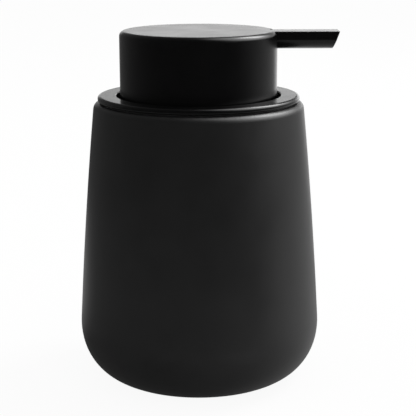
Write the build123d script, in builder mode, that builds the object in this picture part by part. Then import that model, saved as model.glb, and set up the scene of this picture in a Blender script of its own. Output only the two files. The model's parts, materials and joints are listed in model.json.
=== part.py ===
from build123d import *

import math
import os

# Soap pump dispenser: a tapered stoneware jar, closed by a push-in pump with a wide press head.
# The frame has +Z up, its origin on the table under the jar's axis, and +X along the spout.
# All sizes are millimetres, drawn at rest with the head up.

# Fits shared by all the pieces
SLIDE_FIT = 0.05  # gap on the radius of a piece that slides or turns in another
PRESS_FIT = 0.02  # gap on the radius drawn between pieces that are pressed together

# Press head
HEAD_RADIUS = 28.77
HEAD_STAND = 23.3  # head's top above the collar at rest
HEAD_OVERLAP = 3.5  # head's lower edge below the collar's top at rest
HEAD_WALL = 2.0
HEAD_TOP_WALL = 1.5
HEAD_ROUND = 1.9
HEAD_EDGE_ROUND = 0.5
SNAP_BEAD = 0.5  # bead inside the shell that holds the hub up
SNAP_BEAD_HEIGHT = 1.2
STROKE = 14.0

# Spout
SPOUT_REACH = 51.0  # from the axis to the tip
SPOUT_DROP = 0.2  # spout's top below the head's top
SPOUT_WIDTH = 9.6
SPOUT_SIDE = 3.0  # straight flank under the flat top
SPOUT_BELLY = 3.5  # depth of the round underside
SPOUT_TIP_SLANT = 20.0  # degrees
SPOUT_EDGE_ROUND = 0.3
SPOUT_SEAM = 0.03  # hairline between the spout and its notch in the shell
SPOUT_FLANGE = 1.4  # thickness of the flange that stops the spout inside the shell
SPOUT_FLANGE_SIDE = 2.0  # how far the flange reaches past the spout's flanks
SPOUT_FLANGE_DROP = 1.2  # how far the flange reaches below the spout
NOZZLE_RADIUS = 1.8
NOZZLE_BORE = 1.3
NOZZLE_COVER = 0.5  # material between the nozzle and the head's top wall
NOZZLE_RECESS = 1.5  # nozzle's end inside the slanted tip
NOZZLE_START = 2.4  # nozzle's inner end, from the axis

# Actuator hub
HUB_RADIUS = 6.0
HUB_SOCKET_DEPTH = 7.5
HUB_PASSAGE = 1.7
HUB_RING_WALL = 1.5
HUB_RING_HEIGHT = 4.0
HUB_RING_GAP = 0.6  # below the spout's flange
HUB_SPOKES = 6
HUB_SPOKE_WIDTH = 2.0
STOP_MARGIN = 0.6  # left between the hub and the chaplet at full stroke

# Collar, with the well that the head sinks into
HEAD_GAP = 1.5  # ring gap between the head and the collar
WELL_WALL = 1.5
WELL_FLOOR = 2.0
WELL_MARGIN = 2.2  # left under the head's lower edge at full stroke
WELL_CHAMFER = 0.8
COLLAR_PLATE = 2.15
COLLAR_INSET = 1.45  # collar's edge inside the jar's rim
COLLAR_ROUND = 1.15
COLLAR_LOWER_ROUND = 0.75
COLLAR_HOLE_ROUND = 0.4
SEAL_RIB = 0.8  # rib that holds the seal's lower end
SEAL_RIB_HEIGHT = 1.0
STUB_RADIUS = 12.4
STUB_BORE = 9.0
STUB_HEIGHT = 6.5

# Neck seal
SEAL_FLANGE = 0.4
SEAL_FLANGE_INSET = 1.2  # flange's edge inside the collar's edge
SEAL_SPACE = 1.7  # between the well's wall and the neck
SEAL_LENGTH = 10.5
SEAL_BODY = 0.9
SEAL_LIPS = 3
SEAL_LIP_HEIGHT = 1.2

# Jar
NECK_WALL = 5.0
NECK_DEPTH = 16.0
NECK_FLARE = 5.0
RIM_HEIGHT = 104.15
JAR_RADIUS = 45.0
JAR_WIDEST_HEIGHT = 22.5
JAR_BULGE = 0.45  # how far the side bows out from a straight line
JAR_FOOT_INSET = 15.0  # flat foot's edge inside the widest radius
FOOT_PULL_SIDE = 14.3  # how far the foot's round edge follows the side
FOOT_PULL_BASE = 6.5  # how far it follows the base
JAR_WALL = 4.5
JAR_FLOOR = 5.0
FLOOR_ROUND = 12.5  # round corner between the wall and the floor, inside
SHOULDER_ROUND = 2.5
MOUTH_ROUND = 0.8

# Base pad
PAD_THICKNESS = 1.5
PAD_PROUD = 0.5
PAD_MARGIN = 5.0  # pad's edge inside the foot's edge
PAD_GAP = 0.1
PAD_CHAMFER = 0.3

# Pump: closure nut, gasket, housing and chaplet
GASKET_THICKNESS = 1.0
HOUSING_FLANGE = 1.5
HOUSING_FLANGE_RADIUS = 12.0
HOUSING_WALL = 1.5
BORE_RADIUS = 6.5
VENT_RADIUS = 0.5
NUT_WALL = 3.0
NUT_PLATE = 1.5
NUT_LIFT = 0.5  # nut's lower edge above the well's floor
NUT_RIBS = 36
NUT_RIB_RADIUS = 0.5
CHAPLET_FLANGE = 1.9
CHAPLET_FLANGE_RADIUS = 8.4
CHAPLET_DEPTH = 7.0

# Pump: plunger
STEM_RADIUS = 3.5
STEM_BORE = 2.2
STEM_SHOULDER = 2.0
STEM_SHOULDER_RADIUS = 4.9
STEM_PORTS = 4
PORT_RADIUS = 0.9
PORT_HEIGHT = 1.7  # above the stem's lower end
REST_GAP = 0.1  # between the stem's shoulder and the chaplet
VALVE_PLAY = 0.8  # piston's free travel on the stem, which opens the ports
PISTON_LENGTH = 8.0
PISTON_SLEEVE = 1.0
PISTON_WEB = 1.4
PISTON_SKIRT = 0.95
PISTON_RELIEF = 0.25
PISTON_LIP = 1.2
PISTON_LIP_SETBACK = 0.6
PLUG_FLANGE = 2.0
PLUG_FLANGE_RADIUS = 5.0
PLUG_PIN = 6.0
PLUG_GROOVE_WIDTH = 1.6
PLUG_GROOVE_DEPTH = 1.1
PLUG_SPIGOT = 8.0
PLUG_SPIGOT_RADIUS = 2.9

# Pump: spring, inlet valve and dip tube
SPRING_LENGTH = 24.0
SPRING_RADIUS = 4.5
SPRING_TURNS = 8
SPRING_TURN_POINTS = 24  # points per turn on which the coil's gap is measured
WIRE_RADIUS = 0.45
BALL_RADIUS = 2.5
BALL_TRAVEL = 2.0
BALL_PLAY = 0.6
BALL_HEADROOM = 0.2
SEAT_RADIUS = 1.7
SEAT_LENGTH = 1.2
LIP_HEIGHT = 0.8
LIP_REACH = 0.3  # lip's edge inside the ball's radius
LIP_SLOTS = 4
LIP_SLOT_WIDTH = 1.4
TUBE_RADIUS = 3.5
TUBE_BORE = 2.5
TUBE_SOCKET = 9.0
TUBE_SLANT = 30.0  # degrees
TUBE_FOOT_GAP = 2.5  # above the jar's floor

# Radii that follow from the head outwards
HEAD_INSIDE = HEAD_RADIUS - HEAD_WALL
WELL_RADIUS = HEAD_RADIUS + HEAD_GAP
WELL_OUTSIDE = WELL_RADIUS + WELL_WALL
NECK_RADIUS = WELL_OUTSIDE + SEAL_SPACE
RIM_RADIUS = NECK_RADIUS + NECK_WALL
COLLAR_RADIUS = RIM_RADIUS - COLLAR_INSET
FOOT_RADIUS = JAR_RADIUS - JAR_FOOT_INSET
PAD_RADIUS = FOOT_RADIUS - PAD_MARGIN
BODY_RADIUS = BORE_RADIUS + HOUSING_WALL
TUBE_SEAT = TUBE_RADIUS + PRESS_FIT
CHAMBER_RADIUS = BALL_RADIUS + BALL_PLAY
TAIL_RADIUS = max(TUBE_SEAT, CHAMBER_RADIUS) + HOUSING_WALL
NUT_BORE = STUB_RADIUS + SLIDE_FIT
NUT_RADIUS = NUT_BORE + NUT_WALL

# Heights that follow from the rim upwards
COLLAR_BASE = RIM_HEIGHT + SEAL_FLANGE
COLLAR_TOP = COLLAR_BASE + COLLAR_PLATE
HEAD_TOP = COLLAR_TOP + HEAD_STAND
HEAD_CEILING = HEAD_TOP - HEAD_TOP_WALL
HEAD_FOOT = COLLAR_TOP - HEAD_OVERLAP
SPOUT_TOP = HEAD_TOP - SPOUT_DROP
SPOUT_BOTTOM = SPOUT_TOP - SPOUT_SIDE - SPOUT_BELLY
NOZZLE_HEIGHT = HEAD_CEILING - NOZZLE_COVER - NOZZLE_RADIUS
SPOUT_FLANGE_FOOT = SPOUT_BOTTOM - SPOUT_FLANGE_DROP
HUB_RING_TOP = SPOUT_FLANGE_FOOT - HUB_RING_GAP
HUB_RING_FOOT = HUB_RING_TOP - HUB_RING_HEIGHT

# Heights that follow from the stroke downwards
WELL_TOP = HEAD_FOOT - STROKE - WELL_MARGIN
STUB_TOP = WELL_TOP + STUB_HEIGHT
FLANGE_BASE = STUB_TOP + GASKET_THICKNESS
FLANGE_TOP = FLANGE_BASE + HOUSING_FLANGE
CHAPLET_TOP = FLANGE_TOP + CHAPLET_FLANGE
CHAPLET_BOTTOM = FLANGE_TOP - CHAPLET_DEPTH
HUB_FOOT = CHAPLET_TOP + STROKE + STOP_MARGIN
STEM_TOP = HUB_FOOT + HUB_SOCKET_DEPTH
SHOULDER_TOP = CHAPLET_BOTTOM - REST_GAP
SHOULDER_BASE = SHOULDER_TOP - STEM_SHOULDER
PISTON_TOP = SHOULDER_BASE - VALVE_PLAY
PISTON_BASE = PISTON_TOP - PISTON_LENGTH
PLUG_BASE = PISTON_BASE - PLUG_FLANGE
LEDGE = PLUG_BASE - SPRING_LENGTH
LIP_BASE = LEDGE - LIP_HEIGHT

# The ball rests in a seat that opens at 45 degrees
BALL_DROP = math.sqrt(2) * (BALL_RADIUS + PRESS_FIT) - SEAT_RADIUS  # ball's centre above the seat
BALL_CENTRE = LIP_BASE - BALL_HEADROOM - BALL_TRAVEL - BALL_RADIUS
SEAT = BALL_CENTRE - BALL_DROP
SOCKET_TOP = SEAT - SEAT_LENGTH
TAIL_FOOT = SOCKET_TOP - TUBE_SOCKET
JAR_INSIDE = PAD_PROUD + JAR_FLOOR
TUBE_FOOT = JAR_INSIDE + TUBE_FOOT_GAP


def half_section(*points):
    """A closed outline of (radius, height) points, on the plane that holds the axis."""
    with BuildSketch(Plane.XZ) as section:
        with BuildLine():
            Polyline(*points, close=True)
        make_face()
    return section.sketch


def side_radius(height):
    """The jar's outer radius at a height, on the straight line that its side bows out from."""
    share = (RIM_HEIGHT - height) / (RIM_HEIGHT - JAR_WIDEST_HEIGHT)
    return RIM_RADIUS + share * (JAR_RADIUS - RIM_RADIUS)


def spout_section(start, top, seam=0.0):
    """The spout's section at a distance along X: flat on top, round underneath, wider by a seam."""
    half_width = SPOUT_WIDTH / 2 + seam
    belly_top = SPOUT_TOP - SPOUT_SIDE
    with BuildSketch(Plane.YZ.offset(start)) as section:
        with BuildLine():
            ThreePointArc((half_width, belly_top), (0, SPOUT_BOTTOM - seam), (-half_width, belly_top))
            Polyline(
                (-half_width, belly_top),
                (-half_width, top),
                (half_width, top),
                (half_width, belly_top),
            )
        make_face()
    return section.sketch


# Jar: one stoneware shell with a straight neck, a tapered side and a round foot
with BuildPart() as jar:
    with BuildSketch(Plane.XZ):
        with BuildLine():
            outer_side = SagittaArc((RIM_RADIUS, RIM_HEIGHT), (JAR_RADIUS, JAR_WIDEST_HEIGHT), JAR_BULGE)
            outer_foot = Bezier(
                outer_side @ 1,
                outer_side @ 1 + (outer_side % 1) * FOOT_PULL_SIDE,
                (FOOT_RADIUS + FOOT_PULL_BASE, PAD_PROUD),
                (FOOT_RADIUS, PAD_PROUD),
            )
            inside_radius = JAR_RADIUS - JAR_WALL
            base = Polyline(
                outer_foot @ 1,
                (PAD_RADIUS + PAD_GAP, PAD_PROUD),
                (PAD_RADIUS + PAD_GAP, PAD_THICKNESS),
                (0, PAD_THICKNESS),
                (0, JAR_INSIDE),
                (inside_radius - FLOOR_ROUND, JAR_INSIDE),
            )
            corner = TangentArc(base @ 1, (inside_radius, JAR_INSIDE + FLOOR_ROUND), tangent=base % 1)
            flare_end = RIM_HEIGHT - NECK_DEPTH - NECK_FLARE
            Polyline(
                corner @ 1,
                (inside_radius, JAR_WIDEST_HEIGHT),
                (side_radius(flare_end) - JAR_WALL, flare_end),
                (NECK_RADIUS, RIM_HEIGHT - NECK_DEPTH),
                (NECK_RADIUS, RIM_HEIGHT),
                (RIM_RADIUS, RIM_HEIGHT),
            )
        make_face()
    revolve(axis=Axis.Z)
    rim = jar.faces().sort_by(Axis.Z)[-1]
    fillet(rim.outer_wire().edges(), SHOULDER_ROUND)
    rim = jar.faces().sort_by(Axis.Z)[-1]
    fillet(rim.inner_wires().edges(), MOUTH_ROUND)

# Base pad: a soft disc pressed into the recess under the jar, which it stands on
with BuildPart() as base_pad:
    revolve(
        half_section((0, 0), (PAD_RADIUS, 0), (PAD_RADIUS, PAD_THICKNESS), (0, PAD_THICKNESS)),
        axis=Axis.Z,
    )
    chamfer(base_pad.faces().sort_by(Axis.Z)[0].edges(), PAD_CHAMFER)

# Collar: a plate on the rim, a well for the head, and a neck stub that the pump is screwed to
with BuildPart() as collar:
    well_base = WELL_TOP - WELL_FLOOR
    rib_top = RIM_HEIGHT - SEAL_LENGTH
    revolve(
        half_section(
            (WELL_RADIUS, COLLAR_TOP),
            (COLLAR_RADIUS, COLLAR_TOP),
            (COLLAR_RADIUS, COLLAR_BASE),
            (WELL_OUTSIDE, COLLAR_BASE),
            (WELL_OUTSIDE, rib_top),
            (WELL_OUTSIDE + SEAL_RIB, rib_top),
            (WELL_OUTSIDE, rib_top - SEAL_RIB_HEIGHT),
            (WELL_OUTSIDE, well_base + WELL_CHAMFER),
            (WELL_OUTSIDE - WELL_CHAMFER, well_base),
            (STUB_BORE, well_base),
            (STUB_BORE, STUB_TOP),
            (STUB_RADIUS, STUB_TOP),
            (STUB_RADIUS, WELL_TOP),
            (WELL_RADIUS, WELL_TOP),
        ),
        axis=Axis.Z,
    )
    plate = collar.faces().sort_by(Axis.Z)[-1]
    fillet(plate.outer_wire().edges(), COLLAR_ROUND)
    plate = collar.faces().sort_by(Axis.Z)[-1]
    fillet(plate.inner_wires().edges(), COLLAR_HOLE_ROUND)
    underside = collar.edges().filter_by_position(Axis.Z, COLLAR_BASE, COLLAR_BASE).sort_by(SortBy.RADIUS)
    fillet(underside[-1], COLLAR_LOWER_ROUND)

# Neck seal: a soft ring with a thin flange on the rim and lips that grip the neck
with BuildPart() as neck_seal:
    seal_inside = WELL_OUTSIDE + PRESS_FIT
    seal_outside = WELL_OUTSIDE + SEAL_BODY
    lip_edge = NECK_RADIUS - SLIDE_FIT
    flange_edge = COLLAR_RADIUS - SEAL_FLANGE_INSET
    seal_foot = RIM_HEIGHT - SEAL_LENGTH
    body_top = RIM_HEIGHT - MOUTH_ROUND
    lip_pitch = (body_top - seal_foot) / SEAL_LIPS
    lips = []
    for i in range(SEAL_LIPS):
        foot = seal_foot + i * lip_pitch
        lips.append((seal_outside, foot))
        lips.append((lip_edge, foot + SEAL_LIP_HEIGHT))
        lips.append((seal_outside, foot + 2 * SEAL_LIP_HEIGHT))
    revolve(
        half_section(
            (seal_inside, seal_foot),
            *lips,
            (seal_outside, RIM_HEIGHT),
            (flange_edge, RIM_HEIGHT),
            (flange_edge, COLLAR_BASE),
            (seal_inside, COLLAR_BASE),
        ),
        axis=Axis.Z,
    )

# Housing gasket: a flat washer between the neck stub and the housing's flange
with BuildPart() as housing_gasket:
    revolve(
        half_section(
            (STUB_BORE, STUB_TOP),
            (HOUSING_FLANGE_RADIUS, STUB_TOP),
            (HOUSING_FLANGE_RADIUS, FLANGE_BASE),
            (STUB_BORE, FLANGE_BASE),
        ),
        axis=Axis.Z,
    )

# Pump housing: the cylinder, with the inlet valve's seat and the dip tube's socket at its lower end
with BuildPart() as pump_housing:
    taper = BODY_RADIUS - TAIL_RADIUS
    revolve(
        half_section(
            (BORE_RADIUS, FLANGE_TOP),
            (HOUSING_FLANGE_RADIUS, FLANGE_TOP),
            (HOUSING_FLANGE_RADIUS, FLANGE_BASE),
            (BODY_RADIUS, FLANGE_BASE),
            (BODY_RADIUS, LIP_BASE),
            (TAIL_RADIUS, LIP_BASE - taper),
            (TAIL_RADIUS, TAIL_FOOT),
            (TUBE_SEAT, TAIL_FOOT),
            (TUBE_SEAT, SOCKET_TOP),
            (SEAT_RADIUS, SOCKET_TOP),
            (SEAT_RADIUS, SEAT),
            (CHAMBER_RADIUS, SEAT + CHAMBER_RADIUS - SEAT_RADIUS),
            (CHAMBER_RADIUS, LIP_BASE),
            (BALL_RADIUS - LIP_REACH, LIP_BASE),
            (BALL_RADIUS - LIP_REACH, LEDGE),
            (BORE_RADIUS, LEDGE),
        ),
        axis=Axis.Z,
    )
    with BuildSketch(Plane.XY.offset(LEDGE)):
        with PolarLocations(0, LIP_SLOTS):
            Rectangle(CHAMBER_RADIUS, LIP_SLOT_WIDTH, align=(Align.MIN, Align.CENTER))
    extrude(amount=-LIP_HEIGHT, mode=Mode.SUBTRACT)
    vent_height = (PISTON_TOP + CHAPLET_BOTTOM) / 2
    with Locations((BODY_RADIUS - HOUSING_WALL / 2, 0, vent_height)):
        Cylinder(VENT_RADIUS, 2 * HOUSING_WALL, rotation=(0, 90, 0), mode=Mode.SUBTRACT)

# Closure nut: clamps the housing's flange and the gasket on the neck stub
with BuildPart() as closure_nut:
    nut_top = FLANGE_TOP + NUT_PLATE
    nut_foot = WELL_TOP + NUT_LIFT
    nut_hole = CHAPLET_FLANGE_RADIUS + SLIDE_FIT
    revolve(
        half_section(
            (nut_hole, FLANGE_TOP),
            (NUT_BORE, FLANGE_TOP),
            (NUT_BORE, nut_foot),
            (NUT_RADIUS, nut_foot),
            (NUT_RADIUS, nut_top),
            (nut_hole, nut_top),
        ),
        axis=Axis.Z,
    )
    with BuildSketch(Plane.XY.offset(nut_foot)):
        with PolarLocations(NUT_RADIUS, NUT_RIBS):
            Circle(NUT_RIB_RADIUS)
    extrude(amount=nut_top - NUT_PLATE - nut_foot)

# Chaplet: the bush in the housing's mouth that guides the stem and stops its shoulder
with BuildPart() as chaplet:
    revolve(
        half_section(
            (STEM_RADIUS + SLIDE_FIT, CHAPLET_BOTTOM),
            (BORE_RADIUS - PRESS_FIT, CHAPLET_BOTTOM),
            (BORE_RADIUS - PRESS_FIT, FLANGE_TOP),
            (CHAPLET_FLANGE_RADIUS, FLANGE_TOP),
            (CHAPLET_FLANGE_RADIUS, CHAPLET_TOP),
            (STEM_RADIUS + SLIDE_FIT, CHAPLET_TOP),
        ),
        axis=Axis.Z,
    )

# Dip tube: pushed into the housing's tail and cut at a slant above the jar's floor
with BuildPart() as dip_tube:
    revolve(
        half_section(
            (TUBE_BORE, TUBE_FOOT),
            (TUBE_RADIUS, TUBE_FOOT),
            (TUBE_RADIUS, SOCKET_TOP),
            (TUBE_BORE, SOCKET_TOP),
        ),
        axis=Axis.Z,
    )
    slant = math.radians(TUBE_SLANT)
    cut = Plane(origin=(-TUBE_RADIUS, 0, TUBE_FOOT), z_dir=(-math.sin(slant), 0, math.cos(slant)))
    split(bisect_by=cut, keep=Keep.TOP)

# Inlet ball: the check valve that lets soap up into the housing
with BuildPart() as inlet_ball:
    with Locations((0, 0, BALL_CENTRE)):
        Sphere(BALL_RADIUS)

# Return spring: an open coil between the housing's ledge and the stem plug
with BuildPart() as return_spring:
    coil_height = SPRING_LENGTH - 2 * WIRE_RADIUS
    coil_pitch = coil_height / SPRING_TURNS
    with BuildLine() as coil:
        Helix(coil_pitch, coil_height, SPRING_RADIUS, center=(0, 0, LEDGE + WIRE_RADIUS))
    with BuildSketch(Plane(origin=coil.line @ 0, z_dir=coil.line % 0)):
        Circle(WIRE_RADIUS)
    sweep(path=coil.line)
    count = SPRING_TURNS * SPRING_TURN_POINTS
    wire = [coil.line @ (i / count) for i in range(count + 1)]
    half_turn = SPRING_TURN_POINTS // 2
    gaps = []
    for i in range(count - half_turn):
        gaps += [(wire[i] - other).length for other in wire[i + half_turn :]]
    print("spring: least gap between turns", round(min(gaps) - 2 * WIRE_RADIUS, 3))

# Stem: the hollow rod of the plunger, with ports that the piston covers at rest
with BuildPart() as stem:
    revolve(
        half_section(
            (STEM_BORE, PISTON_BASE),
            (STEM_RADIUS, PISTON_BASE),
            (STEM_RADIUS, SHOULDER_BASE),
            (STEM_SHOULDER_RADIUS, SHOULDER_BASE),
            (STEM_SHOULDER_RADIUS, SHOULDER_TOP),
            (STEM_RADIUS, SHOULDER_TOP),
            (STEM_RADIUS, STEM_TOP),
            (STEM_BORE, STEM_TOP),
        ),
        axis=Axis.Z,
    )
    with Locations((0, 0, PISTON_BASE + PORT_HEIGHT)):
        with PolarLocations((STEM_RADIUS + STEM_BORE) / 2, STEM_PORTS):
            Cylinder(PORT_RADIUS, 2 * (STEM_RADIUS - STEM_BORE), rotation=(0, 90, 0), mode=Mode.SUBTRACT)

# Stem plug: closes the stem's lower end, seats the piston and carries the spring
with BuildPart() as stem_plug:
    pin_radius = STEM_BORE - PRESS_FIT
    revolve(
        half_section(
            (0, PLUG_BASE - PLUG_SPIGOT),
            (PLUG_SPIGOT_RADIUS, PLUG_BASE - PLUG_SPIGOT),
            (PLUG_SPIGOT_RADIUS, PLUG_BASE),
            (PLUG_FLANGE_RADIUS, PLUG_BASE),
            (PLUG_FLANGE_RADIUS, PISTON_BASE),
            (pin_radius, PISTON_BASE),
            (pin_radius, PISTON_BASE + PLUG_PIN),
            (0, PISTON_BASE + PLUG_PIN),
        ),
        axis=Axis.Z,
    )
    with BuildSketch(Plane.XY.offset(PISTON_BASE)):
        with PolarLocations(pin_radius, STEM_PORTS):
            Rectangle(2 * PLUG_GROOVE_DEPTH, PLUG_GROOVE_WIDTH)
    extrude(amount=PLUG_PIN, mode=Mode.SUBTRACT)

# Piston: slides in the housing's bore, and a little on the stem to open its ports
with BuildPart() as piston:
    sleeve_inside = STEM_RADIUS + SLIDE_FIT
    sleeve_outside = sleeve_inside + PISTON_SLEEVE
    lip_radius = BORE_RADIUS - SLIDE_FIT
    relief_radius = lip_radius - PISTON_RELIEF
    skirt_inside = lip_radius - PISTON_SKIRT
    web_base = PISTON_BASE + (PISTON_LENGTH - PISTON_WEB) / 2
    web_top = web_base + PISTON_WEB
    skirt_base = PISTON_BASE + PISTON_LIP_SETBACK
    skirt_top = PISTON_TOP - PISTON_LIP_SETBACK
    revolve(
        half_section(
            (sleeve_inside, PISTON_BASE),
            (sleeve_outside, PISTON_BASE),
            (sleeve_outside, web_base),
            (skirt_inside, web_base),
            (skirt_inside, skirt_base),
            (lip_radius, skirt_base),
            (lip_radius, skirt_base + PISTON_LIP),
            (relief_radius, skirt_base + PISTON_LIP + PISTON_RELIEF),
            (relief_radius, skirt_top - PISTON_LIP - PISTON_RELIEF),
            (lip_radius, skirt_top - PISTON_LIP),
            (lip_radius, skirt_top),
            (skirt_inside, skirt_top),
            (skirt_inside, web_top),
            (sleeve_outside, web_top),
            (sleeve_outside, PISTON_TOP),
            (sleeve_inside, PISTON_TOP),
        ),
        axis=Axis.Z,
    )

# Actuator hub: a boss pressed on the stem, with spokes to a ring that snaps into the shell
with BuildPart() as actuator_hub:
    ring_outside = HEAD_INSIDE - SLIDE_FIT
    ring_inside = ring_outside - HUB_RING_WALL
    socket_radius = STEM_RADIUS + PRESS_FIT
    revolve(
        half_section(
            (socket_radius, HUB_FOOT),
            (HUB_RADIUS, HUB_FOOT),
            (HUB_RADIUS, HEAD_CEILING),
            (0, HEAD_CEILING),
            (0, NOZZLE_HEIGHT + NOZZLE_BORE),
            (HUB_PASSAGE, NOZZLE_HEIGHT + NOZZLE_BORE),
            (HUB_PASSAGE, STEM_TOP),
            (socket_radius, STEM_TOP),
        ),
        axis=Axis.Z,
    )
    revolve(
        half_section(
            (ring_inside, HUB_RING_FOOT),
            (ring_outside, HUB_RING_FOOT),
            (ring_outside, HUB_RING_TOP),
            (ring_inside, HUB_RING_TOP),
        ),
        axis=Axis.Z,
    )
    spoke_start = (socket_radius + HUB_RADIUS) / 2
    spoke_end = (ring_inside + ring_outside) / 2
    with BuildSketch(Plane.XY.offset(HUB_RING_FOOT)):
        with PolarLocations((spoke_start + spoke_end) / 2, HUB_SPOKES):
            Rectangle(spoke_end - spoke_start, HUB_SPOKE_WIDTH)
    extrude(amount=HUB_RING_HEIGHT)
    with BuildSketch(Plane.YZ.offset(NOZZLE_START)):
        with Locations((0, NOZZLE_HEIGHT)):
            Circle(NOZZLE_RADIUS + PRESS_FIT)
    extrude(amount=HUB_RADIUS, mode=Mode.SUBTRACT)
    with BuildSketch(Plane.YZ):
        with Locations((0, NOZZLE_HEIGHT)):
            Circle(NOZZLE_BORE)
    extrude(amount=NOZZLE_START, mode=Mode.SUBTRACT)

# Head shell: the press head's cup, with a notch at its top edge for the spout
notch_start = math.sqrt(HEAD_INSIDE**2 - (SPOUT_WIDTH / 2 + SPOUT_SEAM) ** 2)
with BuildPart() as head_shell:
    bead_base = HUB_RING_FOOT - SNAP_BEAD_HEIGHT
    revolve(
        half_section(
            (0, HEAD_TOP),
            (HEAD_RADIUS, HEAD_TOP),
            (HEAD_RADIUS, HEAD_FOOT),
            (HEAD_INSIDE, HEAD_FOOT),
            (HEAD_INSIDE, bead_base),
            (HEAD_INSIDE - SNAP_BEAD, HUB_RING_FOOT),
            (HEAD_INSIDE, HUB_RING_FOOT),
            (HEAD_INSIDE, HEAD_CEILING),
            (0, HEAD_CEILING),
        ),
        axis=Axis.Z,
    )
    fillet(head_shell.faces().sort_by(Axis.Z)[-1].edges(), HEAD_ROUND)
    lower_edge = head_shell.faces().sort_by(Axis.Z)[0]
    fillet(lower_edge.outer_wire().edges(), HEAD_EDGE_ROUND)
    notch = spout_section(notch_start, HEAD_TOP, SPOUT_SEAM)
    extrude(notch, amount=HEAD_RADIUS - notch_start, mode=Mode.SUBTRACT)

# Spout: a separate bar through the notch, held inside by a curved flange and bored for the nozzle
with BuildPart() as spout:
    extrude(spout_section(notch_start + SPOUT_SEAM, SPOUT_TOP), amount=SPOUT_REACH - notch_start)
    slant = math.radians(SPOUT_TIP_SLANT)
    tip = Plane(origin=(SPOUT_REACH, 0, SPOUT_TOP), z_dir=(math.cos(slant), 0, -math.sin(slant)))
    split(bisect_by=tip, keep=Keep.BOTTOM)
    top_edges = spout.faces().sort_by(Axis.Z)[-1].edges().filter_by(Axis.X)
    fillet(top_edges, SPOUT_EDGE_ROUND)
    flange_outside = HEAD_INSIDE - SLIDE_FIT
    with BuildSketch(Plane.XY.offset(SPOUT_FLANGE_FOOT)):
        Rectangle(HEAD_RADIUS, SPOUT_WIDTH + 2 * SPOUT_FLANGE_SIDE, align=(Align.MIN, Align.CENTER))
        Circle(flange_outside, mode=Mode.INTERSECT)
        Circle(flange_outside - SPOUT_FLANGE, mode=Mode.SUBTRACT)
    extrude(amount=HEAD_CEILING - SLIDE_FIT - SPOUT_FLANGE_FOOT)
    with BuildSketch(Plane.YZ.offset(HUB_RADIUS)):
        with Locations((0, NOZZLE_HEIGHT)):
            Circle(NOZZLE_RADIUS + PRESS_FIT)
    extrude(amount=SPOUT_REACH, mode=Mode.SUBTRACT)

# Nozzle tube: carries soap from the hub to the spout's tip
with BuildPart() as nozzle_tube:
    tip_setback = (SPOUT_TOP - NOZZLE_HEIGHT + NOZZLE_RADIUS) * math.tan(slant) + NOZZLE_RECESS
    with BuildSketch(Plane.YZ.offset(NOZZLE_START)):
        with Locations((0, NOZZLE_HEIGHT)):
            Circle(NOZZLE_RADIUS)
            Circle(NOZZLE_BORE, mode=Mode.SUBTRACT)
    extrude(amount=SPOUT_REACH - tip_setback - NOZZLE_START)

pieces = {
    "jar": jar,
    "base_pad": base_pad,
    "collar": collar,
    "neck_seal": neck_seal,
    "housing_gasket": housing_gasket,
    "pump_housing": pump_housing,
    "closure_nut": closure_nut,
    "chaplet": chaplet,
    "dip_tube": dip_tube,
    "inlet_ball": inlet_ball,
    "return_spring": return_spring,
    "stem": stem,
    "stem_plug": stem_plug,
    "piston": piston,
    "actuator_hub": actuator_hub,
    "head_shell": head_shell,
    "spout": spout,
    "nozzle_tube": nozzle_tube,
}
os.makedirs("parts", exist_ok=True)
for name, piece in pieces.items():
    piece.part.label = name
    export_step(piece.part, f"parts/{name}.step")
print("overall height", round(HEAD_TOP, 2), "width", round(JAR_RADIUS + SPOUT_REACH, 2))
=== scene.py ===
# %% [markdown]
# # A black soap pump dispenser
# The dispenser is a tapered stoneware jar with a push-in pump. A wide round head is pressed down into
# a collar, and soap leaves through a flat-topped spout. The solids come from a CAD model, so this
# lesson doesn't model them again: it gives each one the finish that the real piece has, and sets up a
# small studio. Everything is in metres, +Z is up, and the spout points along +X.

# %% Load the solids
import json
import math

import bmesh
import bpy
from mathutils import Matrix, Vector


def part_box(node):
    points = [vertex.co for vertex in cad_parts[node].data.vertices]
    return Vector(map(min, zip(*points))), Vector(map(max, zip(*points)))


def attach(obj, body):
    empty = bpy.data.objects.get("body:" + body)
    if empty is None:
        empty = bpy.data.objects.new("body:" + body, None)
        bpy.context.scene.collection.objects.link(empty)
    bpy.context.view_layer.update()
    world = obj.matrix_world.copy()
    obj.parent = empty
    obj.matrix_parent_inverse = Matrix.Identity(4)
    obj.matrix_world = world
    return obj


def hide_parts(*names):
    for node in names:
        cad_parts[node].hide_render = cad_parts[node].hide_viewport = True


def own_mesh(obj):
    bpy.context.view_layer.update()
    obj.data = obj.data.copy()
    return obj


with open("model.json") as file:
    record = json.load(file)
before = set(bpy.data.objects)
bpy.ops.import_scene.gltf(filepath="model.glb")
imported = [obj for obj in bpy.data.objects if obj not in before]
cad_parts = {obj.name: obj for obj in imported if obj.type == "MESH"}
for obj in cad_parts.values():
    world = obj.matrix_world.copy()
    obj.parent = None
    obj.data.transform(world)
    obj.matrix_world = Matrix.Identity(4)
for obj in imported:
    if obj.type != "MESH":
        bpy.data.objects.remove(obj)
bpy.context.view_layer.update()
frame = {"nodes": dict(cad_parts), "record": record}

solids = frame["nodes"]
scene = bpy.context.scene

# %% [markdown]
# ## The camera
# A product picture like this is taken from a little above the rim, with a long lens, so that the
# upright sides stay nearly parallel. The camera could be aimed with a Track To constraint. Here its
# turn is built from three small rotations instead, because each one has a plain meaning: how far it
# looks down, how far it looks past the jar towards the spout, and how level it is held.

# %% Camera
PICTURE_PIXELS = 416
FOCAL_PIXELS = 1209.2
SENSOR_WIDTH = 36.0
CAMERA_DISTANCE = 0.4418
CAMERA_HEIGHT = 0.1705
LOOK_DOWN = 0.2375
LOOK_RIGHT = 0.0076
TILT = -0.0025

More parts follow.
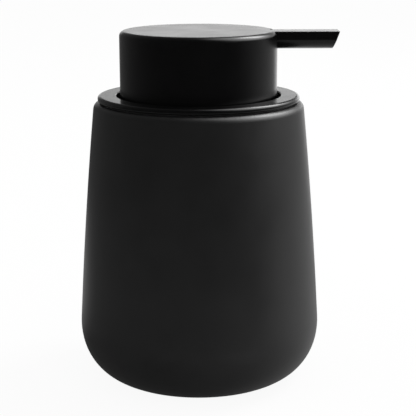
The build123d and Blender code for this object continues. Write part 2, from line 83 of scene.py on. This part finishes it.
lens = bpy.data.cameras.new("camera")
lens.sensor_width = SENSOR_WIDTH
lens.lens = SENSOR_WIDTH * FOCAL_PIXELS / PICTURE_PIXELS
camera = bpy.data.objects.new("camera", lens)
scene.collection.objects.link(camera)
aim = Matrix.Rotation(-LOOK_RIGHT, 4, "Z")
aim = aim @ Matrix.Rotation(math.pi / 2 - LOOK_DOWN, 4, "X")
aim = aim @ Matrix.Rotation(TILT, 4, "Z")
camera.matrix_world = Matrix.Translation((0.0, -CAMERA_DISTANCE, CAMERA_HEIGHT)) @ aim
scene.camera = camera
scene.view_settings.view_transform = "Standard"
print("camera with a", round(lens.lens, 1), "mm lens")

# %% [markdown]
# ## The room
# A black object is drawn by what it mirrors. This studio has a low bright wall behind the jar, which
# fades upwards, a soft light dish above it at the right, a lit side wall under the dish, a dim glow at
# both sides and a dark room in front. The flat tops, seen at a grazing angle, mirror the wall and turn
# grey, and the sides that face the camera stay black. The walls and the dish could be real sheets with
# emission, but they would stand in the way of views from behind. So they are painted on the world by
# direction, for mirrored rays alone. The camera sees plain white, and diffuse surfaces get an even
# fill.

# %% Helpers for shader nodes
def add_node(tree, kind, **settings):
    """A new shader node with its own settings."""
    node = tree.nodes.new(kind)
    for name, value in settings.items():
        setattr(node, name, value)
    return node


def ramp(tree, value, span, start, end):
    """A smooth change from start to end as a value crosses a span."""
    node = add_node(tree, "ShaderNodeMapRange", interpolation_type="SMOOTHSTEP")
    tree.links.new(value, node.inputs["Value"])
    node.inputs["From Min"].default_value = span[0]
    node.inputs["From Max"].default_value = span[1]
    node.inputs["To Min"].default_value = start
    node.inputs["To Max"].default_value = end
    return node.outputs["Result"]


def combine(tree, operation, first, second):
    """A value joined to another value, or to a number, by a sum, a product or the like."""
    node = add_node(tree, "ShaderNodeMath", operation=operation)
    tree.links.new(first, node.inputs[0])
    if isinstance(second, float):
        node.inputs[1].default_value = second
    else:
        tree.links.new(second, node.inputs[1])
    return node.outputs["Value"]


def choose(tree, share, first, second):
    """Two shaders, with the second one shown by a share."""
    node = add_node(tree, "ShaderNodeMixShader")
    tree.links.new(share, node.inputs["Fac"])
    tree.links.new(first, node.inputs[1])
    tree.links.new(second, node.inputs[2])
    return node.outputs["Shader"]


# %% The room's glow
ROOM_DARK = 0.016
LEFT_GLOW = 0.1
RIGHT_GLOW = 0.37
SIDE_SPAN = (-0.3, 0.5)  # from the left to the right, along X
BEHIND_SPAN = (-0.75, 0.9)  # from in front to behind, along Y
WALL_GLOW = 1.7
WALL_GLOW_RIGHT = 2.48
WALL_LEFT = (-0.4, -0.1)  # where the wall starts, along X
WALL_TURN = (0.03, 0.16)  # where it brightens
WALL_SIDES = (0.75, 0.95)  # where its sides fade, along Y
WALL_FOOT = (-0.03, 0.04)  # where it starts, along Z
WALL_TOP = (0.02, 0.27)  # where it fades upwards
SIDE_WALL_GLOW = 0.6
SIDE_WALL_SPAN = (0.45, 0.9)  # where the side wall starts, along X
SIDE_WALL_FOOT = (0.03, 0.35)  # where it brightens, along Z
DISH_DIRECTION = Vector((0.68, 0.1, 0.72)).normalized()
DISH_SPAN = (0.7, 0.98)  # cosines of the angle from the dish's middle
DISH_GLOW = 3.2


def room_glow(tree, direction):
    """How bright the room is in a direction: dark in front, pale behind, brighter at the right."""
    split = add_node(tree, "ShaderNodeSeparateXYZ")
    tree.links.new(direction, split.inputs["Vector"])
    across = split.outputs["X"]
    back = split.outputs["Y"]
    up = split.outputs["Z"]
    sides = ramp(tree, across, SIDE_SPAN, LEFT_GLOW, RIGHT_GLOW)
    sides = combine(tree, "MULTIPLY", sides, ramp(tree, back, BEHIND_SPAN, 0.0, 1.0))
    wall = ramp(tree, across, WALL_TURN, WALL_GLOW, WALL_GLOW_RIGHT)
    wall = combine(tree, "MULTIPLY", wall, ramp(tree, across, WALL_LEFT, 0.0, 1.0))
    wall = combine(tree, "MULTIPLY", wall, ramp(tree, back, WALL_SIDES, 0.0, 1.0))
    wall = combine(tree, "MULTIPLY", wall, ramp(tree, up, WALL_FOOT, 0.0, 1.0))
    wall = combine(tree, "MULTIPLY", wall, ramp(tree, up, WALL_TOP, 1.0, 0.0))
    side_wall = ramp(tree, across, SIDE_WALL_SPAN, 0.0, SIDE_WALL_GLOW)
    side_wall = combine(tree, "MULTIPLY", side_wall, ramp(tree, up, SIDE_WALL_FOOT, 0.0, 1.0))
    facing = add_node(tree, "ShaderNodeVectorMath", operation="DOT_PRODUCT")
    tree.links.new(direction, facing.inputs[0])
    facing.inputs[1].default_value = DISH_DIRECTION
    dish = ramp(tree, facing.outputs["Value"], DISH_SPAN, 0.0, DISH_GLOW)
    glow = combine(tree, "ADD", sides, wall)
    glow = combine(tree, "ADD", glow, side_wall)
    glow = combine(tree, "ADD", glow, dish)
    return combine(tree, "ADD", glow, ROOM_DARK)


# %% World
ROOM_FILL = 0.72
WHITE = (1.0, 1.0, 1.0, 1.0)

world = bpy.data.worlds.new("studio")
scene.world = world
world.use_nodes = True
sky = world.node_tree
sky.nodes.clear()
direction = add_node(sky, "ShaderNodeTexCoord")
mirrored = add_node(sky, "ShaderNodeBackground")
mirrored.inputs["Color"].default_value = WHITE
sky.links.new(room_glow(sky, direction.outputs["Generated"]), mirrored.inputs["Strength"])
white = add_node(sky, "ShaderNodeBackground")
white.inputs["Color"].default_value = WHITE
white.inputs["Strength"].default_value = 1.0
fill = add_node(sky, "ShaderNodeBackground")
fill.inputs["Color"].default_value = WHITE
fill.inputs["Strength"].default_value = ROOM_FILL
rays = add_node(sky, "ShaderNodeLightPath")
seen = combine(sky, "MAXIMUM", rays.outputs["Is Camera Ray"], rays.outputs["Is Transmission Ray"])
lit = choose(sky, rays.outputs["Is Glossy Ray"], fill.outputs["Background"], mirrored.outputs["Background"])
shown = choose(sky, seen, lit, white.outputs["Background"])
output = add_node(sky, "ShaderNodeOutputWorld")
sky.links.new(shown, output.inputs["Surface"])
print("world with", len(sky.nodes), "nodes")

# %% [markdown]
# ## The floor
# The floor is a wide pale disc. A shadow catcher would make it vanish, but then the jar would float.
# A plain diffuse disc under one lamp is grey, so most of its colour is shown as a steady white and
# the rest is lit: the object's shadow stays, soft and faint. Mirrored rays see the room's paint carried
# on over the floor, so that no line shows between the two. On it, for mirrored rays only, lie patches of
# painted light: a dim one round the jar, and paler ones at the right, behind and close in front, where the
# soft box's light would fall. There is also a patch of painted shade where the jar would keep the light
# off.

# %% The floor's finish
FLOOR_COLOUR = (0.95, 0.95, 0.95, 1.0)
FLOOR_WHITE = 0.93
# painted light, seen only in reflections: glowing patches on the floor where the soft box's light would
# fall
NEAR_PAINTED_GLOW = {"centre": (0.0, 0.0, 0.0), "span": (0.3, 0.5), "inside": 0.17, "outside": 0.0}
RIGHT_PAINTED_GLOW = {"centre": (0.25, 0.2, 0.0), "span": (0.24, 0.4), "inside": 0.56, "outside": 0.0}
BACK_PAINTED_GLOW = {"centre": (0.0, 0.2, 0.0), "span": (0.12, 0.24), "inside": 0.56, "outside": 0.0}
FRONT_PAINTED_GLOW = {"centre": (0.065, -0.09, 0.0), "span": (0.025, 0.075), "inside": 0.34, "outside": 0.0}
# painted shade, seen only in reflections: the floor's glow is dimmed at the left of the foot, where the jar
# would keep the light off
PAINTED_SHADE_PATCH = {"centre": (-0.05, -0.02, 0.0), "span": (0.04, 0.1), "inside": 0.5, "outside": 1.0}


def round_patch(tree, position, centre, span, inside, outside):
    """A value inside a circle on the floor, which fades to another value outside it."""
    reach = add_node(tree, "ShaderNodeVectorMath", operation="DISTANCE")
    tree.links.new(position, reach.inputs[0])
    reach.inputs[1].default_value = centre
    return ramp(tree, reach.outputs["Value"], span, inside, outside)


def floor_finish():
    """A pale floor that looks white and keeps a soft shadow. Mirrored rays see painted light and shade on
    it. It is clear from below.
    """
    material = bpy.data.materials.new("floor")
    material.use_nodes = True
    tree = material.node_tree
    tree.nodes.clear()
    rays = add_node(tree, "ShaderNodeLightPath")
    seen = combine(tree, "MAXIMUM", rays.outputs["Is Camera Ray"], rays.outputs["Is Transmission Ray"])
    matt = add_node(tree, "ShaderNodeBsdfDiffuse")
    matt.inputs["Color"].default_value = FLOOR_COLOUR
    white = add_node(tree, "ShaderNodeEmission")
    white.inputs["Color"].default_value = WHITE
    steady = combine(tree, "MULTIPLY", seen, FLOOR_WHITE)
    lit = choose(tree, steady, matt.outputs["BSDF"], white.outputs["Emission"])
    place = add_node(tree, "ShaderNodeNewGeometry")
    position = place.outputs["Position"]
    outward = add_node(tree, "ShaderNodeVectorMath", operation="NORMALIZE")
    tree.links.new(position, outward.inputs[0])
    glow = room_glow(tree, outward.outputs["Vector"])
    # painted light: the glowing patches are added to the floor's glow that mirrored rays see
    for painted_glow in (NEAR_PAINTED_GLOW, RIGHT_PAINTED_GLOW, BACK_PAINTED_GLOW, FRONT_PAINTED_GLOW):
        glow = combine(tree, "MAXIMUM", glow, round_patch(tree, position, **painted_glow))
    # painted shade: the mirrored glow is dimmed where the jar would keep the light off
    glow = combine(tree, "MULTIPLY", glow, round_patch(tree, position, **PAINTED_SHADE_PATCH))
    mirrored = add_node(tree, "ShaderNodeEmission")
    mirrored.inputs["Color"].default_value = WHITE
    tree.links.new(glow, mirrored.inputs["Strength"])
    lit = choose(tree, rays.outputs["Is Glossy Ray"], lit, mirrored.outputs["Emission"])
    clear = add_node(tree, "ShaderNodeBsdfTransparent")
    shown = choose(tree, place.outputs["Backfacing"], lit, clear.outputs["BSDF"])
    output = add_node(tree, "ShaderNodeOutputMaterial")
    tree.links.new(shown, output.inputs["Surface"])
    return material


# %% Lay the floor
FLOOR_RADIUS = 4.0
FLOOR_SIDES = 96

corners = []
for i in range(FLOOR_SIDES):
    turn = 2 * math.pi * i / FLOOR_SIDES
    corners.append((FLOOR_RADIUS * math.cos(turn), FLOOR_RADIUS * math.sin(turn), 0.0))
disc = bpy.data.meshes.new("floor")
disc.from_pydata(corners, [], [range(FLOOR_SIDES)])
disc.materials.append(floor_finish())
floor = bpy.data.objects.new("floor", disc)
scene.collection.objects.link(floor)
print("floor", 2 * FLOOR_RADIUS, "m across")

# %% [markdown]
# ## The lamp
# One soft box hangs at the right, above and a little behind the jar, in the middle of the painted dish.
# It draws the bright line on each rounded edge and throws the soft shadow. A point lamp would give a
# hard shadow and a pin-sharp glint; an area lamp's size sets how soft both are, as on a real soft box.

# %% Soft box
LAMP_TARGET = Vector((0.0, 0.0, 0.09))
LAMP_PLACE = Vector((0.76, 0.36, 0.95))
LAMP_WIDTH = 0.52
LAMP_HEIGHT = 0.55
LAMP_POWER = 7.2

light = bpy.data.lights.new("soft_box", "AREA")
light.shape = "RECTANGLE"
light.size = LAMP_WIDTH
light.size_y = LAMP_HEIGHT
light.energy = LAMP_POWER
lamp = bpy.data.objects.new("soft_box", light)
lamp.location = LAMP_PLACE
lamp.rotation_euler = (LAMP_TARGET - LAMP_PLACE).to_track_quat("-Z", "Y").to_euler()
scene.collection.objects.link(lamp)
print("soft box", LAMP_WIDTH, "by", LAMP_HEIGHT, "m,", LAMP_POWER, "W")

# %% [markdown]
# ## Finishes
# Every finish starts from the Principled shader. Noise textures in the object's own metres vary its
# colour and roughness a little and raise a fine bump, so no surface is one flat value. Image textures
# would need UV maps, which CAD solids don't have, and noise looks the same on every face.

# %% Helpers for the finishes
MIDDLE = (0.3, 0.7)  # where most of a noise texture's values lie
GRAIN_DETAIL = 2.0


def new_finish(name):
    """A new material, with its node tree and its Principled shader."""
    material = bpy.data.materials.new(name)
    material.use_nodes = True
    tree = material.node_tree
    return material, tree, tree.nodes["Principled BSDF"]


def spot(tree):
    """The place of a point on the object, in metres."""
    return add_node(tree, "ShaderNodeTexCoord").outputs["Object"]


def grain(tree, size, detail=GRAIN_DETAIL):
    """Noise whose grains are about a size across, in metres."""
    noise = add_node(tree, "ShaderNodeTexNoise")
    noise.inputs["Scale"].default_value = 1.0 / size
    noise.inputs["Detail"].default_value = detail
    tree.links.new(spot(tree), noise.inputs["Vector"])
    return noise.outputs["Fac"]


def shades(tree, value, dark, light):
    """A colour from a dark to a light one by a value."""
    ladder = add_node(tree, "ShaderNodeValToRGB")
    ladder.color_ramp.elements[0].position = MIDDLE[0]
    ladder.color_ramp.elements[1].position = MIDDLE[1]
    ladder.color_ramp.elements[0].color = (*dark, 1.0)
    ladder.color_ramp.elements[1].color = (*light, 1.0)
    tree.links.new(value, ladder.inputs["Fac"])
    return ladder.outputs["Color"]


def raised(tree, value, height, under=None):
    """A bump of a real height, in metres, laid over another one."""
    bump = add_node(tree, "ShaderNodeBump")
    bump.inputs["Strength"].default_value = 1.0
    bump.inputs["Distance"].default_value = height
    tree.links.new(value, bump.inputs["Height"])
    if under is not None:
        tree.links.new(under, bump.inputs["Normal"])
    return bump.outputs["Normal"]


def set_surface(tree, shader, colour, roughness, normal):
    """Join a colour, a roughness and a normal to the shader."""
    tree.links.new(colour, shader.inputs["Base Color"])
    tree.links.new(roughness, shader.inputs["Roughness"])
    tree.links.new(normal, shader.inputs["Normal"])


# %% [markdown]
# ### The jar's matte glaze
# The jar is slip-cast stoneware under a matte black glaze. The glaze flows, so it is smooth to the
# touch, with a faint orange-peel wave and a little cloudiness. It mirrors softly: more than half of
# what the jar shows is a blurred picture of the room. The flat ring of the foot is wiped clean before
# firing, so that it doesn't stick to the kiln shelf, and shows the bare clay. A second material could
# be put on its faces, but the glaze ends in a soft line, so one material fades by height instead.

# %% Glaze
GLAZE_IOR = 1.56
GLAZE_DARK = (0.0085, 0.0085, 0.0086)
GLAZE_LIGHT = (0.0105, 0.0105, 0.0106)
GLAZE_ROUGHNESS = (0.37, 0.4)
CLOUD_SIZE = 0.012
CLOUD_DETAIL = 3.0
WAVE_SIZE = 0.0014
WAVE_HEIGHT = 0.000006
GLAZE_GRAIN = 0.0003
GLAZE_GRAIN_HEIGHT = 0.0000008
CLAY_DARK = (0.05, 0.046, 0.042)
CLAY_LIGHT = (0.085, 0.078, 0.07)
CLAY_DULLNESS = 0.42  # how much rougher the bare clay is
CLAY_GRAIN = 0.0006
CLAY_DETAIL = 4.0
BARE_SPAN = (0.00055, 0.0009)  # heights over which the bare foot turns to glaze


def matte_glaze():
    """Black stoneware glaze: cloudy, half matte, with a faint wave, and bare clay under the foot."""
    material, tree, shader = new_finish("matte_glaze")
    split = add_node(tree, "ShaderNodeSeparateXYZ")
    tree.links.new(spot(tree), split.inputs["Vector"])
    glazed = ramp(tree, split.outputs["Z"], BARE_SPAN, 0.0, 1.0)
    cloud = grain(tree, CLOUD_SIZE, CLOUD_DETAIL)
    clay = grain(tree, CLAY_GRAIN, CLAY_DETAIL)
    colour = add_node(tree, "ShaderNodeMix", data_type="RGBA")
    tree.links.new(glazed, colour.inputs["Factor"])
    tree.links.new(shades(tree, clay, CLAY_DARK, CLAY_LIGHT), colour.inputs["A"])
    tree.links.new(shades(tree, cloud, GLAZE_DARK, GLAZE_LIGHT), colour.inputs["B"])
    dull = ramp(tree, glazed, (0.0, 1.0), CLAY_DULLNESS, 0.0)
    roughness = combine(tree, "ADD", ramp(tree, cloud, MIDDLE, *GLAZE_ROUGHNESS), dull)
    wave = raised(tree, grain(tree, WAVE_SIZE), WAVE_HEIGHT)
    normal = raised(tree, grain(tree, GLAZE_GRAIN), GLAZE_GRAIN_HEIGHT, wave)
    set_surface(tree, shader, colour.outputs["Result"], roughness, normal)
    shader.inputs["IOR"].default_value = GLAZE_IOR
    return material


glaze = matte_glaze()
print("glaze", glaze.name)

# %% [markdown]
# ### The pump's satin plastic
# The collar, the head, its hub and the spout are moulded in black plastic, in a mould with a fine
# spark-eroded skin. The skin is too fine to see, but it blurs reflections a little, so the roughness
# does most of the work, and a grain of two tenths of a millimetre adds the last of it. Where the
# plastic flowed slowly into the mould, the skin is a shade duller.

# %% Satin plastic
SATIN_DARK = (0.0021, 0.0021, 0.0022)
SATIN_LIGHT = (0.0027, 0.0027, 0.0028)
SATIN_ROUGHNESS = (0.23, 0.25)
FLOW_SIZE = 0.009
SKIN_GRAIN = 0.0002
SKIN_HEIGHT = 0.0000008


def satin_plastic():
    """Deep black moulded plastic with a fine satin skin."""
    material, tree, shader = new_finish("satin_plastic")
    flow = grain(tree, FLOW_SIZE)
    colour = shades(tree, flow, SATIN_DARK, SATIN_LIGHT)
    roughness = ramp(tree, flow, MIDDLE, *SATIN_ROUGHNESS)
    normal = raised(tree, grain(tree, SKIN_GRAIN), SKIN_HEIGHT)
    set_surface(tree, shader, colour, roughness, normal)
    return material


satin = satin_plastic()
print("satin plastic", satin.name)

# %% [markdown]
# ### Foam rubber and silicone
# The pad under the jar is punched from a sheet of foam rubber, whose skin is full of tiny closed
# cells. A Voronoi texture is the usual way to draw cells: its distance to the nearest seed is a small
# bowl in each one. The seals are dark silicone, which is smoother, and whose skin has a slight bloom:
# the sheen lobe gives that.

# %% Foam rubber
FOAM_DARK = (0.012, 0.012, 0.012)
FOAM_LIGHT = (0.018, 0.018, 0.018)
FOAM_ROUGHNESS = (0.74, 0.86)
DUST_SIZE = 0.004
CELL_SIZE = 0.0007
CELL_DEPTH = 0.00008


def foam_rubber():
    """Dull black foam rubber with tiny cells."""
    material, tree, shader = new_finish("foam_rubber")
    cells = add_node(tree, "ShaderNodeTexVoronoi")
    cells.inputs["Scale"].default_value = 1.0 / CELL_SIZE
    tree.links.new(spot(tree), cells.inputs["Vector"])
    dust = grain(tree, DUST_SIZE)
    colour = shades(tree, dust, FOAM_DARK, FOAM_LIGHT)
    roughness = ramp(tree, dust, MIDDLE, *FOAM_ROUGHNESS)
    normal = raised(tree, cells.outputs["Distance"], CELL_DEPTH)
    set_surface(tree, shader, colour, roughness, normal)
    return material


rubber = foam_rubber()
print("foam rubber", rubber.name)

# %% Silicone
SILICONE_DARK = (0.02, 0.02, 0.021)
SILICONE_LIGHT = (0.027, 0.027, 0.028)
SILICONE_ROUGHNESS = (0.45, 0.6)
SILICONE_SHEEN = 0.15
BLOOM_SIZE = 0.004
SEAL_GRAIN = 0.0006
SEAL_GRAIN_HEIGHT = 0.000006


def seal_silicone():
    """Dark silicone: softer and smoother than rubber, with a slight bloom."""
    material, tree, shader = new_finish("seal_silicone")
    bloom = grain(tree, BLOOM_SIZE)
    colour = shades(tree, bloom, SILICONE_DARK, SILICONE_LIGHT)
    roughness = ramp(tree, bloom, MIDDLE, *SILICONE_ROUGHNESS)
    normal = raised(tree, grain(tree, SEAL_GRAIN), SEAL_GRAIN_HEIGHT)
    set_surface(tree, shader, colour, roughness, normal)
    shader.inputs["Sheen Weight"].default_value = SILICONE_SHEEN
    return material


silicone = seal_silicone()
print("silicone", silicone.name)

# %% [markdown]
# ### The pump's natural plastic
# The parts inside are moulded without pigment: milky polypropylene for the housing, nut and stem, and
# softer polyethylene for the piston and the tubes. Light goes a little way into them, which makes
# their edges glow. Subsurface scattering gives that. The tubes have thin walls and let some light
# right through, so they also transmit.

# %% Natural plastic
GLOW_SHARE = 0.3
GLOW_COLOURS = (1.0, 0.9, 0.8)
GLOW_DEPTH = 0.001
MILK_CLOUD = 0.005
MILK_GRAIN = 0.0005
MILK_GRAIN_HEIGHT = 0.000004
HOUSING_LOOK = {
    "dark": (0.7, 0.71, 0.7),
    "light": (0.76, 0.77, 0.76),
    "dullness": (0.34, 0.42),
    "through": 0.0,
}
PISTON_LOOK = {
    "dark": (0.62, 0.65, 0.68),
    "light": (0.68, 0.71, 0.74),
    "dullness": (0.4, 0.5),
    "through": 0.0,
}
TUBE_LOOK = {
    "dark": (0.72, 0.74, 0.74),
    "light": (0.8, 0.82, 0.82),
    "dullness": (0.28, 0.36),
    "through": 0.35,
}


def milky_plastic(name, dark, light, dullness, through):
    """Unpigmented plastic: milky, waxy, and clear by a share."""
    material, tree, shader = new_finish(name)
    cloud = grain(tree, MILK_CLOUD)
    colour = shades(tree, cloud, dark, light)
    roughness = ramp(tree, cloud, MIDDLE, *dullness)
    normal = raised(tree, grain(tree, MILK_GRAIN), MILK_GRAIN_HEIGHT)
    set_surface(tree, shader, colour, roughness, normal)
    shader.inputs["Subsurface Weight"].default_value = GLOW_SHARE
    shader.inputs["Subsurface Radius"].default_value = GLOW_COLOURS
    shader.inputs["Subsurface Scale"].default_value = GLOW_DEPTH
    shader.inputs["Transmission Weight"].default_value = through
    return material


housing_plastic = milky_plastic("housing_plastic", **HOUSING_LOOK)
piston_plastic = milky_plastic("piston_plastic", **PISTON_LOOK)
tube_plastic = milky_plastic("tube_plastic", **TUBE_LOOK)
print("natural plastics", housing_plastic.name, piston_plastic.name, tube_plastic.name)

# %% [markdown]
# ### Steel
# The spring is drawn stainless wire and the valve ball is polished. A metal has no colour of its own
# under the surface: all of it is reflection, so Metallic is 1 and the roughness tells the two apart.
# The die that draws the wire leaves it duller than the ball, which is tumbled until it shines.

# %% Steel
STEEL_DARK = (0.55, 0.55, 0.56)
STEEL_LIGHT = (0.6, 0.6, 0.61)
MARKS_DETAIL = 3.0
MARKS_HEIGHT = 0.0000004
WIRE_LOOK = {"dullness": (0.24, 0.32), "size": 0.002}
BALL_LOOK = {"dullness": (0.07, 0.11), "size": 0.003}


def bright_steel(name, dullness, size):
    """Stainless steel with a finer or coarser polish."""
    material, tree, shader = new_finish(name)
    marks = grain(tree, size, MARKS_DETAIL)
    colour = shades(tree, marks, STEEL_DARK, STEEL_LIGHT)
    roughness = ramp(tree, marks, MIDDLE, *dullness)
    normal = raised(tree, marks, MARKS_HEIGHT)
    set_surface(tree, shader, colour, roughness, normal)
    shader.inputs["Metallic"].default_value = 1.0
    return material


spring_wire = bright_steel("spring_wire", **WIRE_LOOK)
valve_ball = bright_steel("valve_ball", **BALL_LOOK)
print("steels", spring_wire.name, valve_ball.name)

# %% [markdown]
# ## Dressing the solids
# The CAD record names a material slot for each piece. One table joins those slots to the finishes
# above, so a piece can't be forgotten: a slot with no finish would stop the script.

# %% Dress each solid
FINISHES = {
    "jar_stoneware": glaze,
    "black_plastic": satin,
    "pad_rubber": rubber,
    "seal_silicone": silicone,
    "pump_plastic": housing_plastic,
    "piston_plastic": piston_plastic,
    "tube_plastic": tube_plastic,
    "spring_steel": spring_wire,
    "ball_steel": valve_ball,
}
for subpart in frame["record"]["subparts"]:
    solid = solids[subpart["node"]]
    solid.material_slots[0].material = FINISHES[subpart["material_slot"]]
print("dressed", len(solids), "solids in", len(FINISHES), "finishes")

# %% [markdown]
# ## The return spring
# The spring lifts the head again after each press. It is wound from stainless wire, with its end turns
# closed, so that springs don't tangle in the box, and ground flat, so that it stands straight between
# its seats. The CAD solid is one even coil and can't shorten, so the spring is made again here. A Screw
# modifier would wind a circle at one pitch. A curve through computed points is used instead, because
# its pitch can change, and a bevel gives the curve its round wire. The ends are then cut flat.

# %% Wind the spring
WIRE_RADIUS = 0.00045
WIRE_SIDES = 4  # bevel resolution, in steps per quarter of the wire
SPRING_TURNS = 8
TURN_POINTS = 40
CLOSED_PITCH = 2.1 * WIRE_RADIUS
CLOSED_TURNS = (0.7, 1.3)  # turns from an end over which the coil opens


def smooth_step(value, span):
    """A smooth rise from 0 to 1 as a value crosses a span."""
    share = min(max((value - span[0]) / (span[1] - span[0]), 0.0), 1.0)
    return share * share * (3.0 - 2.0 * share)


spring_low, spring_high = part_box("return_spring")
spring_length = spring_high.z - spring_low.z
coil_radius = (spring_high.x - spring_low.x) / 2 - WIRE_RADIUS
steps = SPRING_TURNS * TURN_POINTS
openness = []
for i in range(steps):
    turn = (i + 0.5) / TURN_POINTS
    openness.append(smooth_step(min(turn, SPRING_TURNS - turn), CLOSED_TURNS))
spare = spring_length - CLOSED_PITCH * SPRING_TURNS
open_pitch = CLOSED_PITCH + spare * TURN_POINTS / sum(openness)
heights = [spring_low.z]
for share in openness:
    pitch = CLOSED_PITCH + share * (open_pitch - CLOSED_PITCH)
    heights.append(heights[-1] + pitch / TURN_POINTS)
print("spring", round(spring_length, 4), "m long, open pitch", round(open_pitch, 5))

# %% Give the wire its thickness
path = bpy.data.curves.new("coil_path", "CURVE")
path.dimensions = "3D"
path.bevel_depth = WIRE_RADIUS
path.bevel_resolution = WIRE_SIDES
path.use_fill_caps = True
wire_line = path.splines.new("POLY")
wire_line.points.add(steps)
for i, height in enumerate(heights):
    turn = 2 * math.pi * i / TURN_POINTS
    wire_line.points[i].co = (coil_radius * math.cos(turn), coil_radius * math.sin(turn), height, 1.0)
wound = bpy.data.objects.new("coil_path", path)
scene.collection.objects.link(wound)
bpy.context.view_layer.update()
thick_wire = wound.evaluated_get(bpy.context.evaluated_depsgraph_get())
coil_mesh = bpy.data.meshes.new_from_object(thick_wire)
coil_mesh.name = "coil_spring"
bpy.data.objects.remove(wound)
print("wire of", len(coil_mesh.polygons), "faces")

# %% Grind the ends flat
WELD = 1e-7
QUAD = 4  # the wire's own faces have four corners, its end caps more


def grind(coil, height, upward):
    """Cut the coil off flat at a height and close the cut."""
    everything = coil.verts[:] + coil.edges[:] + coil.faces[:]
    place = (0.0, 0.0, height)
    out = (0.0, 0.0, upward)
    bmesh.ops.bisect_plane(coil, geom=everything, plane_co=place, plane_no=out, clear_outer=True)
    rim = [edge for edge in coil.edges if edge.is_boundary]
    return bmesh.ops.triangle_fill(coil, edges=rim, use_beauty=True, normal=out)


coil = bmesh.new()
coil.from_mesh(coil_mesh)
bmesh.ops.remove_doubles(coil, verts=coil.verts[:], dist=WELD)
for face in coil.faces:
    face.smooth = len(face.verts) == QUAD
for height, upward in ((spring_low.z, -1.0), (spring_high.z, 1.0)):
    ground = grind(coil, height, upward)
    for face in ground["geom"]:
        if isinstance(face, bmesh.types.BMFace):
            face.smooth = False
bmesh.ops.recalc_face_normals(coil, faces=coil.faces[:])
open_edges = sum(1 for edge in coil.edges if not edge.is_manifold)
coil.to_mesh(coil_mesh)
coil.free()
coil_mesh.materials.clear()
coil_mesh.materials.append(spring_wire)
spring = bpy.data.objects.new("coil_spring", coil_mesh)
scene.collection.objects.link(spring)
print("spring with", open_edges, "open edges")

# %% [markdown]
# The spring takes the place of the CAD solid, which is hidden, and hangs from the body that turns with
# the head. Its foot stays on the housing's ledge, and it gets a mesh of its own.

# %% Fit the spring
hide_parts("return_spring")
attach(spring, "spring_turn")
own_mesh(spring)
